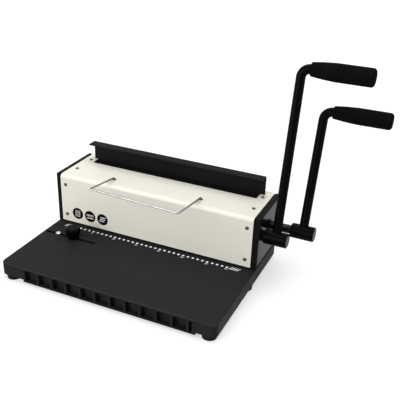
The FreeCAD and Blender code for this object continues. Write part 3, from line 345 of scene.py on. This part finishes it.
def end_plate_paint(name, colour, rim_rough, field_rough, specular):
    """A grainy matt rim round a smooth glossy field, which lies a little deeper than the rim."""
    depth = 0.05 * MM
    look = Look(name, specular)
    split = look.add("SeparateXYZ", {0: look.place})
    across = look.math("ABSOLUTE", split.outputs["X"])
    field = look.math("COMPARE", across, END_PLATE_FIELD_X, END_PLATE_FIELD_NEAR)
    cloud = look.noise(per_metre=40)
    speckle = look.noise(per_metre=1300, detail=2)
    look.colour(look.shades(speckle, colour, darker=0.8, lighter=1.3, spread=0.15))
    rim = look.remap(cloud, *rim_rough)
    look.roughness(look.mix(field, rim, look.remap(cloud, *field_rough), data_type="FLOAT"))
    height = look.math("MULTIPLY", speckle, look.math("SUBTRACT", 1.0, field))
    look.bump((height, depth))
    return look.material


def steel(name, colour, rough, stretch=BRUSHED):
    depth = 0.01 * MM
    look = Look(name, metallic=1.0)
    lines = look.noise(per_metre=30, detail=4, stretch=stretch)
    look.colour(look.shades(lines, colour, darker=0.8, lighter=1.15))
    look.roughness(look.remap(look.noise(per_metre=25), *rough))
    look.bump((lines, depth))
    return look.material


def rubber(name, colour, specular):
    depth = 0.12 * MM
    look = Look(name, specular)
    cloud = look.noise(per_metre=60, detail=4)
    look.colour(look.shades(cloud, colour, darker=0.75, lighter=1.3))
    look.roughness(look.remap(cloud, low=0.75, high=0.92))
    look.bump((look.pores(per_metre=900), depth), (look.noise(per_metre=250), depth))
    return look.material


def plastic(name, colour, specular, rough=(0.4, 0.55), depth=0.03 * MM):
    look = Look(name, specular)
    cloud = look.noise(per_metre=35)
    look.colour(look.shades(cloud, colour, darker=0.85, lighter=1.15))
    look.roughness(look.remap(cloud, *rough))
    look.bump((look.noise(per_metre=1700, detail=2), depth))
    return look.material


def ink(name, colour, specular):
    """Screen-printed ink: flat, with faint streaks of the squeegee."""
    depth = 0.01 * MM
    look = Look(name, specular)
    streaks = look.noise(per_metre=300, detail=2, stretch=(0.2, 1, 1))
    look.colour(look.shades(streaks, colour, darker=0.93, lighter=1.05))
    look.roughness(look.remap(look.noise(per_metre=500), low=0.45, high=0.6))
    look.bump((streaks, depth))
    return look.material


# --- the materials, by the record's slots -----------------------------------

MATERIALS = {
    "bed_paint": powder_paint(
        "bed_paint", (0.0178, 0.0178, 0.0178), rough=(0.42, 0.52), specular=0.03,
        # The bed's round edges carry a painted highlight.
        depth=0.08 * MM, curve_highlight_share=0.45,
    ),
    "drawer_plastic": plastic("drawer_plastic", (0.019, 0.019, 0.019), specular=0.02),
    "foot_rubber": rubber("foot_rubber", (0.012, 0.012, 0.012), specular=0.08),
    "sheet_steel": steel("sheet_steel", (0.36, 0.36, 0.355), rough=(0.42, 0.55)),
    "frame_paint": powder_paint(
        "frame_paint", (0.006, 0.006, 0.006), rough=(0.5, 0.6), specular=0.05,
    ),
    "end_plate_paint": end_plate_paint(
        "end_plate_paint", (0.006, 0.006, 0.0065), rim_rough=(0.5, 0.62),
        field_rough=(0.05, 0.09), specular=0.04,
    ),
    "cover_paint": powder_paint(
        "ivory_paint", (0.82, 0.79, 0.705), rough=(0.34, 0.42), specular=0.35,
        # Its edges lighten only a little, as a painted highlight.
        grain=1100, depth=0.02 * MM, edge_wear_and_highlight=1.08, cloudy=0.02, speckled=0.03,
    ),
    "bar_paint": powder_paint(
        "bar_paint", (0.012, 0.012, 0.012), rough=(0.4, 0.5), specular=0.015,
        grain=1700, depth=0.04 * MM,
    ),
    "rod_steel": steel("rod_steel", (0.3, 0.295, 0.28), rough=(0.1, 0.14), stretch=PLAIN),
    "tool_steel": steel("tool_steel", (0.35, 0.35, 0.35), rough=(0.3, 0.42)),
    "spring_steel": steel("spring_steel", (0.4, 0.4, 0.41), rough=(0.25, 0.4)),
    "shaft_steel": steel("shaft_steel", (0.022, 0.022, 0.017), rough=(0.3, 0.4)),
    "bush_polymer": plastic("bush_polymer", (0.006, 0.006, 0.006), specular=0.03),
    "nylon": plastic("nylon", (0.75, 0.74, 0.69), specular=0.4, rough=(0.45, 0.55)),
    "lever_paint": powder_paint(
        "lever_paint", (0.0012, 0.0012, 0.0012), rough=(0.2, 0.28), specular=0.03,
        grain=1700, depth=0.01 * MM,
    ),
    "grip_rubber": rubber("grip_rubber", (0.005, 0.005, 0.005), specular=0.012),
    "knob_plastic": plastic(
        "knob_plastic", (0.003, 0.003, 0.003), specular=0.04, rough=(0.14, 0.2), depth=0.01 * MM,
    ),
    "pin_steel": steel("pin_steel", (0.6, 0.6, 0.59), rough=(0.16, 0.24), stretch=PLAIN),
}
WHITE_INK = ink("white_ink", (0.9, 0.9, 0.9), specular=0.2)
BLACK_INK = ink("black_ink", (0.003, 0.003, 0.003), specular=0.04)
SCREW_STEEL = steel("screw_steel", (0.1, 0.1, 0.095), rough=(0.28, 0.36), stretch=PLAIN)


def paint_nodes():
    """Gives each CAD node its slot's finish, but gives the guide's slider dark steel: painted shade
    in its slot.
    """
    for part in frame["record"]["subparts"]:
        mesh = NODES[part["node"]].data
        mesh.materials.clear()
        mesh.materials.append(MATERIALS[part["material_slot"]])
    # The slider shows through the guide's slot; its dark steel stands in for the slot's shade.
    NODES["guide_slider"].data.materials[0] = MATERIALS["shaft_steel"]


# --- helpers for pieces -----------------------------------------------------

PRINT_THICK = 0.08 * MM
PRINT_SINK = 0.02 * MM


def mesh_object(name, bm):
    """Makes an object of a bmesh, with its faces turned outwards."""
    bmesh.ops.recalc_face_normals(bm, faces=bm.faces)
    mesh = bpy.data.meshes.new(name)
    bm.to_mesh(mesh)
    bm.free()
    item = bpy.data.objects.new(name, mesh)
    bpy.context.scene.collection.objects.link(item)
    return item


def add_piece(name, bm, body, material):
    """Makes one piece of a bmesh, gives it its finish and hands it to a CAD body."""
    piece = mesh_object(name, bm)
    piece.data.materials.append(material)
    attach(piece, body)


def facing(origin, right, up):
    """A matrix that stands a flat drawing on a surface: right and up lie in it."""
    right = Vector(right)
    up = Vector(up)
    turn = Matrix((right, up, right.cross(up))).transposed().to_4x4()
    return Matrix.Translation(Vector(origin)) @ turn


def stamp(bm, surface, outline, thick=PRINT_THICK, sink=PRINT_SINK):
    """A thin solid of one outline, which lies on the surface and reaches a little into it."""
    low = [bm.verts.new(surface @ Vector((x, y, -sink))) for x, y in outline]
    high = [bm.verts.new(surface @ Vector((x, y, thick - sink))) for x, y in outline]
    bm.faces.new(low[::-1])
    bm.faces.new(high)
    count = len(outline)
    for index in range(count):
        after = (index + 1) % count
        bm.faces.new((low[index], low[after], high[after], high[index]))


def lathe(bm, surface, profile, count, closed=False):
    """A turned solid: profile lists radius and height along its section, closed for a ring."""
    rings = []
    for radius, height in profile:
        if radius == 0:
            rings.append([bm.verts.new(surface @ Vector((0, 0, height)))])
            continue
        ring = []
        for x, y in circle(radius, count):
            ring.append(bm.verts.new(surface @ Vector((x, y, height))))
        rings.append(ring)
    pairs = list(zip(rings, rings[1:]))
    if closed:
        pairs.append((rings[-1], rings[0]))
    for low, high in pairs:
        for index in range(count):
            after = (index + 1) % count
            if len(high) == 1:
                bm.faces.new((low[index], low[after], high[0]))
            elif len(low) == 1:
                bm.faces.new((low[0], high[after], high[index]))
            else:
                bm.faces.new((low[index], low[after], high[after], high[index]))


def rectangle(centre, width, height):
    x, y = centre
    half_x, half_y = width / 2, height / 2
    return [
        (x - half_x, y - half_y), (x + half_x, y - half_y),
        (x + half_x, y + half_y), (x - half_x, y + half_y),
    ]


def circle(radius, count, squareness=0.0):
    """A circle of count points, or with some squareness a square with round corners."""
    outline = []
    for index in range(count):
        angle = 2 * math.pi * index / count
        c, s = math.cos(angle), math.sin(angle)
        swell = 1 / max(abs(c), abs(s))
        reach = radius * (1 + squareness * (swell - 1))
        outline.append((reach * c, reach * s))
    return outline


def arc(centre, radius, degrees):
    """Points at the given angles round a centre."""
    x, y = centre
    angles = [math.radians(angle) for angle in degrees]
    return [(x + radius * math.cos(angle), y + radius * math.sin(angle)) for angle in angles]


# --- printed scale on the bed -----------------------------------------------

BED_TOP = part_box("bed")[1][2]
HOLE_COUNT = 34
HOLE_PITCH = 8.466667 * MM
SCALE_Y = 15 * MM
MARK_SIZE = 3.8 * MM
MARK_SQUARENESS = 0.6
MARK_POINTS = 24
NUMERALS = (5, 10, 15, 20, 25, 30, 34)
NUMERAL_Y = 9.4 * MM
NUMERAL_HEIGHT = 3.6 * MM
# The height of a digit, as a share of its font's size.
DIGIT_SHARE = 0.7
MERGE_WITHIN = 1e-7
SLASH_COUNT = 4
SLASH_PITCH = 4.2 * MM
SLASH_GAP = 6.5 * MM
SLASH_LENGTH = 8 * MM
SLASH_LEAN = 2.4 * MM
SLASH_WIDTH = 1.7 * MM


def hole_x(number):
    """The place of a hole across the bed; the first is number 1."""
    return (number - (HOLE_COUNT + 1) / 2) * HOLE_PITCH


def bed_surface(x, y):
    return facing((x, y, BED_TOP), RIGHT, BACKWARDS)


def make_scale_marks():
    bm = bmesh.new()
    outline = circle(MARK_SIZE / 2, MARK_POINTS, MARK_SQUARENESS)
    for number in range(1, HOLE_COUNT + 1):
        stamp(bm, bed_surface(hole_x(number), SCALE_Y), outline)
    add_piece("scale_marks", bm, "base", WHITE_INK)


def make_scale_slashes():
    """Leaning strokes that end the row of marks on both sides."""
    bm = bmesh.new()
    foot = SLASH_LENGTH / 2
    half = SLASH_WIDTH / 2
    stroke = [
        (-SLASH_LEAN - half, -foot), (-SLASH_LEAN + half, -foot),
        (SLASH_LEAN + half, foot), (SLASH_LEAN - half, foot),
    ]
    for side, end in ((-1, 1), (1, HOLE_COUNT)):
        for index in range(SLASH_COUNT):
            x = hole_x(end) + side * (SLASH_GAP + index * SLASH_PITCH)
            stamp(bm, bed_surface(x, SCALE_Y), stroke)
    add_piece("scale_slashes", bm, "base", WHITE_INK)


def numeral_mesh(number):
    """A plain number as a thin mesh, centred on its own origin."""
    text = bpy.data.curves.new(f"numeral_{number}", "FONT")
    text.body = str(number)
    text.align_x = "CENTER"
    text.align_y = "CENTER"
    text.size = NUMERAL_HEIGHT / DIGIT_SHARE
    text.extrude = PRINT_THICK / 2
    holder = bpy.data.objects.new(f"numeral_{number}", text)
    mesh = bpy.data.meshes.new_from_object(holder)
    bpy.data.objects.remove(holder)
    bpy.data.curves.remove(text)
    return mesh


def make_scale_numerals():
    bm = bmesh.new()
    for number in NUMERALS:
        mesh = numeral_mesh(number)
        mesh.transform(bed_surface(hole_x(number), NUMERAL_Y))
        bm.from_mesh(mesh)
        bpy.data.meshes.remove(mesh)
    bmesh.ops.remove_doubles(bm, verts=bm.verts, dist=MERGE_WITHIN)
    add_piece("scale_numerals", bm, "base", WHITE_INK)


# --- printed discs on the front cover ---------------------------------------

COVER_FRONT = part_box("front_top_cover")[0][1]
DISC_Z = 51.5 * MM
DISC_XS = (-142.8 * MM, -118.1 * MM, -93.6 * MM)
DISC_DIAMETER = 21 * MM
DISC_POINTS = 64
ICON_LINE = 1.0 * MM
PAGE_WIDTH = 7.6 * MM
PAGE_HEIGHT = 10 * MM
WRITING_LENGTH = 4 * MM
WRITING_WIDTH = 0.9 * MM
WRITING_Y = 1.6 * MM
LOOP_PITCH = 4.6 * MM
LOOP_Y = 1.4 * MM
LOOP_RADIUS = 1.7 * MM
LOOP_START = -50
LOOP_TURN = 280
LOOP_STEPS = 14
LOOP_SHEET_Y = -3.4 * MM
LOOP_SHEET_LENGTH = 12.5 * MM
LOOP_SHEET_WIDTH = 1.6 * MM
STACK_PITCH = 3.6 * MM
# Each sheet of the pile is shifted by this share of its rise.
STACK_SLANT = 0.4
STACK_SHEET_LENGTH = 10 * MM
STACK_SHEET_WIDTH = 1.4 * MM


def front_surface(x, z):
    return facing((x, COVER_FRONT, z), RIGHT, UP)


def page_icon():
    """A sheet of paper with two lines of writing."""
    outlines = []
    for side in (-1, 1):
        outlines += [
            rectangle((side * PAGE_WIDTH / 2, 0), ICON_LINE, PAGE_HEIGHT),
            rectangle((0, side * PAGE_HEIGHT / 2), PAGE_WIDTH + ICON_LINE, ICON_LINE),
            rectangle((0, side * WRITING_Y), WRITING_LENGTH, WRITING_WIDTH),
        ]
    return outlines


def loops_icon():
    """Three wire loops along the edge of a sheet."""
    outlines = [rectangle((0, LOOP_SHEET_Y), LOOP_SHEET_LENGTH, LOOP_SHEET_WIDTH)]
    degrees = [LOOP_START + LOOP_TURN * step / LOOP_STEPS for step in range(LOOP_STEPS + 1)]
    for place in (-1, 0, 1):
        centre = (place * LOOP_PITCH, LOOP_Y)
        outer = arc(centre, LOOP_RADIUS + ICON_LINE / 2, degrees)
        inner = arc(centre, LOOP_RADIUS - ICON_LINE / 2, reversed(degrees))
        outlines.append(outer + inner)
    return outlines


def stack_icon():
    """A pile of three sheets seen from its edge."""
    outlines = []
    for place in (-1, 0, 1):
        rise = place * STACK_PITCH
        centre = (rise * STACK_SLANT, rise)
        outlines.append(rectangle(centre, STACK_SHEET_LENGTH, STACK_SHEET_WIDTH))
    return outlines


def make_discs():
    """Black discs with plain pictograms, where the photo's discs have lettering."""
    discs = bmesh.new()
    icons = bmesh.new()
    for x, outlines in zip(DISC_XS, (page_icon(), loops_icon(), stack_icon())):
        surface = front_surface(x, DISC_Z)
        stamp(discs, surface, circle(DISC_DIAMETER / 2, DISC_POINTS))
        raised = surface @ Matrix.Translation((0, 0, PRINT_THICK - PRINT_SINK))
        for outline in outlines:
            stamp(icons, raised, outline)
    add_piece("printed_discs", discs, "base", BLACK_INK)
    add_piece("printed_icons", icons, "base", WHITE_INK)


# --- screws -----------------------------------------------------------------

COVER_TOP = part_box("front_top_cover")[1][2]
COVER_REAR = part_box("rear_cover")[1][1]
HEAD_DIAMETER = 5.8 * MM
HEAD_HEIGHT = 1.9 * MM
# The straight rim below a head's dome, as a share of the head's height.
HEAD_RIM = 0.35
HEAD_POINTS = 28
DOME_DEGREES = range(0, 90, 15)
RECESS_WIDTH = 0.9 * MM
RECESS_REACH = 1.7 * MM
RECESS_DEPTH = 1.1 * MM
# Each head is turned this much further than the last; its cross repeats after a quarter turn.
SCREW_TURN = 37
QUARTER_TURN = 90
SCREW_X = 164.5 * MM
FRONT_SCREW_ZS = (46.3 * MM, 102 * MM)
REAR_SCREW_ZS = (46 * MM, 96 * MM)
TOP_SCREW_X = 162 * MM
TOP_SCREW_YS = (57.8 * MM, 102 * MM)


def top_surface(x, y):
    return facing((x, y, COVER_TOP), RIGHT, BACKWARDS)


def rear_surface(x, y, z):
    return facing((x, y, z), LEFT, UP)


def pan_head():
    """A pan head without its recess, on its own origin."""
    radius = HEAD_DIAMETER / 2
    angles = [math.radians(angle) for angle in DOME_DEGREES]
    dome = [
        (radius * math.cos(angle), HEAD_HEIGHT * (HEAD_RIM + (1 - HEAD_RIM) * math.sin(angle)))
        for angle in angles
    ]
    bm = bmesh.new()
    lathe(bm, Matrix(), [(0, 0), (radius, 0), *dome, (0, HEAD_HEIGHT)], HEAD_POINTS)
    return mesh_object("head", bm)


def cross_cutter():
    """A cross that reaches from above the head down to the recess's floor."""
    across, reach = RECESS_WIDTH / 2, RECESS_REACH
    outline = [
        (across, across), (across, reach), (-across, reach), (-across, across),
        (-reach, across), (-reach, -across), (-across, -across), (-across, -reach),
        (across, -reach), (across, -across), (reach, -across), (reach, across),
    ]
    bm = bmesh.new()
    stamp(bm, Matrix(), outline, thick=HEAD_HEIGHT, sink=RECESS_DEPTH - HEAD_HEIGHT)
    return mesh_object("cross", bm)


def screw_head_mesh():
    """A pan head with a cross recess, whose seat is at its own origin."""
    head = pan_head()
    cutter = cross_cutter()
    cut = head.modifiers.new("recess", "BOOLEAN")
    cut.operation = "DIFFERENCE"
    cut.solver = "EXACT"
    cut.object = cutter
    graph = bpy.context.evaluated_depsgraph_get()
    result = bpy.data.meshes.new_from_object(head.evaluated_get(graph))
    for item in (head, cutter):
        mesh = item.data
        bpy.data.objects.remove(item)
        bpy.data.meshes.remove(mesh)
    return result


def make_screws(name, head, surfaces):
    """Copies of one head on several surfaces, each turned its own way as a hand leaves it."""
    bm = bmesh.new()
    for index, surface in enumerate(surfaces):
        turn = math.radians(SCREW_TURN * (index + 1) % QUARTER_TURN)
        copy = head.copy()
        copy.transform(surface @ Matrix.Rotation(turn, 4, "Z"))
        bm.from_mesh(copy)
        bpy.data.meshes.remove(copy)
    add_piece(name, bm, "base", SCREW_STEEL)


def make_all_screws():
    head = screw_head_mesh()
    sides = (-1, 1)
    front = [front_surface(side * SCREW_X, z) for side in sides for z in FRONT_SCREW_ZS]
    top = [top_surface(side * TOP_SCREW_X, y) for side in sides for y in TOP_SCREW_YS]
    rear = [rear_surface(side * SCREW_X, COVER_REAR, z) for side in sides for z in REAR_SCREW_ZS]
    make_screws("front_cover_screws", head, front)
    make_screws("top_cover_screws", head, top)
    make_screws("rear_cover_screws", head, rear)
    bpy.data.meshes.remove(head)


# --- small parts on the rod and the levers ----------------------------------

ROD_HOLE_Y = 49.4 * MM
ROD_MIDDLE_X = -3.1 * MM
ROD_HALF_WIDTH = 79.5 * MM
GROMMET_BORE = 2.8 * MM
GROMMET_DIAMETER = 5.8 * MM
GROMMET_HEIGHT = 0.6 * MM
GROMMET_SINK = 0.3 * MM
GROMMET_ROUND = 0.4 * MM
GROMMET_DEGREES = (0, 30, 60, 90)
GROMMET_POINTS = 28
PUNCH_AXIS = (47 * MM, 83 * MM)
CLOSING_AXIS = (79 * MM, 86.6 * MM)
HUB_RADIUS = 11.6 * MM
SET_SCREW_OFFSETS = (-9.5 * MM, 9.5 * MM)
SET_SCREW_DIAMETER = 6 * MM
SET_SCREW_CHAMFER = 0.4 * MM
SET_SCREW_POINTS = 24
# Heights above the hub's surface: the screw's foot, its chamfer's lower edge, its face, and the
# floor of its socket.
SET_SCREW_FOOT = -1.5 * MM
SET_SCREW_EDGE = 0.15 * MM
SET_SCREW_FACE = 0.45 * MM
SOCKET_FLOOR = -1.2 * MM
SOCKET_ACROSS = 3 * MM
SHAFT_RADIUS = 6 * MM
SLEEVE_RADIUS = 7 * MM
SLEEVE_CHAMFER = 0.6 * MM
SLEEVE_START = 184.8 * MM
SLEEVE_POINTS = 48


def make_rod_grommets():
    """Black rings that grip the wire rod where it goes through the cover."""
    outer = GROMMET_DIAMETER / 2
    inner = GROMMET_BORE / 2
    centre = (outer - GROMMET_ROUND, GROMMET_HEIGHT - GROMMET_ROUND)
    profile = [
        (inner, -GROMMET_SINK), (outer, -GROMMET_SINK),
        *arc(centre, GROMMET_ROUND, GROMMET_DEGREES), (inner, GROMMET_HEIGHT),
    ]
    bm = bmesh.new()
    for side in (-1, 1):
        surface = top_surface(ROD_MIDDLE_X + side * ROD_HALF_WIDTH, ROD_HOLE_Y)
        lathe(bm, surface, profile, GROMMET_POINTS, closed=True)
    add_piece("rod_grommets", bm, "base", MATERIALS["grip_rubber"])


def make_set_screws(name, node, axis, body):
    """Socket set screws in the back of a lever's hub, a little proud of it."""
    low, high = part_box(node)
    middle = (low[0] + high[0]) / 2
    y, z = axis
    outer = SET_SCREW_DIAMETER / 2
    socket = SOCKET_ACROSS / 2
    profile = [
        (0, SET_SCREW_FOOT), (outer, SET_SCREW_FOOT), (outer, SET_SCREW_EDGE),
        (outer - SET_SCREW_CHAMFER, SET_SCREW_FACE), (socket, SET_SCREW_FACE),
        (socket, SOCKET_FLOOR), (0, SOCKET_FLOOR),
    ]
    bm = bmesh.new()
    for offset in SET_SCREW_OFFSETS:
        lathe(bm, rear_surface(middle + offset, y + HUB_RADIUS, z), profile, SET_SCREW_POINTS)
    add_piece(name, bm, body, SCREW_STEEL)


def make_shaft_sleeve():
    """A spacer tube on the closing shaft, between the end plate and the hub."""
    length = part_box("closing_lever_hub")[0][0] - SLEEVE_START
    bare = SLEEVE_RADIUS - SLEEVE_CHAMFER
    profile = [
        (SHAFT_RADIUS, 0), (bare, 0), (SLEEVE_RADIUS, SLEEVE_CHAMFER),
        (SLEEVE_RADIUS, length - SLEEVE_CHAMFER), (bare, length), (SHAFT_RADIUS, length),
    ]
    bm = bmesh.new()
    surface = facing((SLEEVE_START, *CLOSING_AXIS), BACKWARDS, UP)
    lathe(bm, surface, profile, SLEEVE_POINTS, closed=True)
    add_piece("closing_shaft_sleeve", bm, "closing_lever", MATERIALS["shaft_steel"])


add_camera()
add_studio()
paint_nodes()
make_scale_marks()
make_scale_slashes()
make_scale_numerals()
make_discs()
make_all_screws()
make_rod_grommets()
make_set_screws("punch_hub_set_screws", "punch_lever_hub", PUNCH_AXIS, "punch_lever")
make_set_screws("closing_hub_set_screws", "closing_lever_hub", CLOSING_AXIS, "closing_lever")
make_shaft_sleeve()
bpy.context.scene.view_settings.view_transform = "Standard"
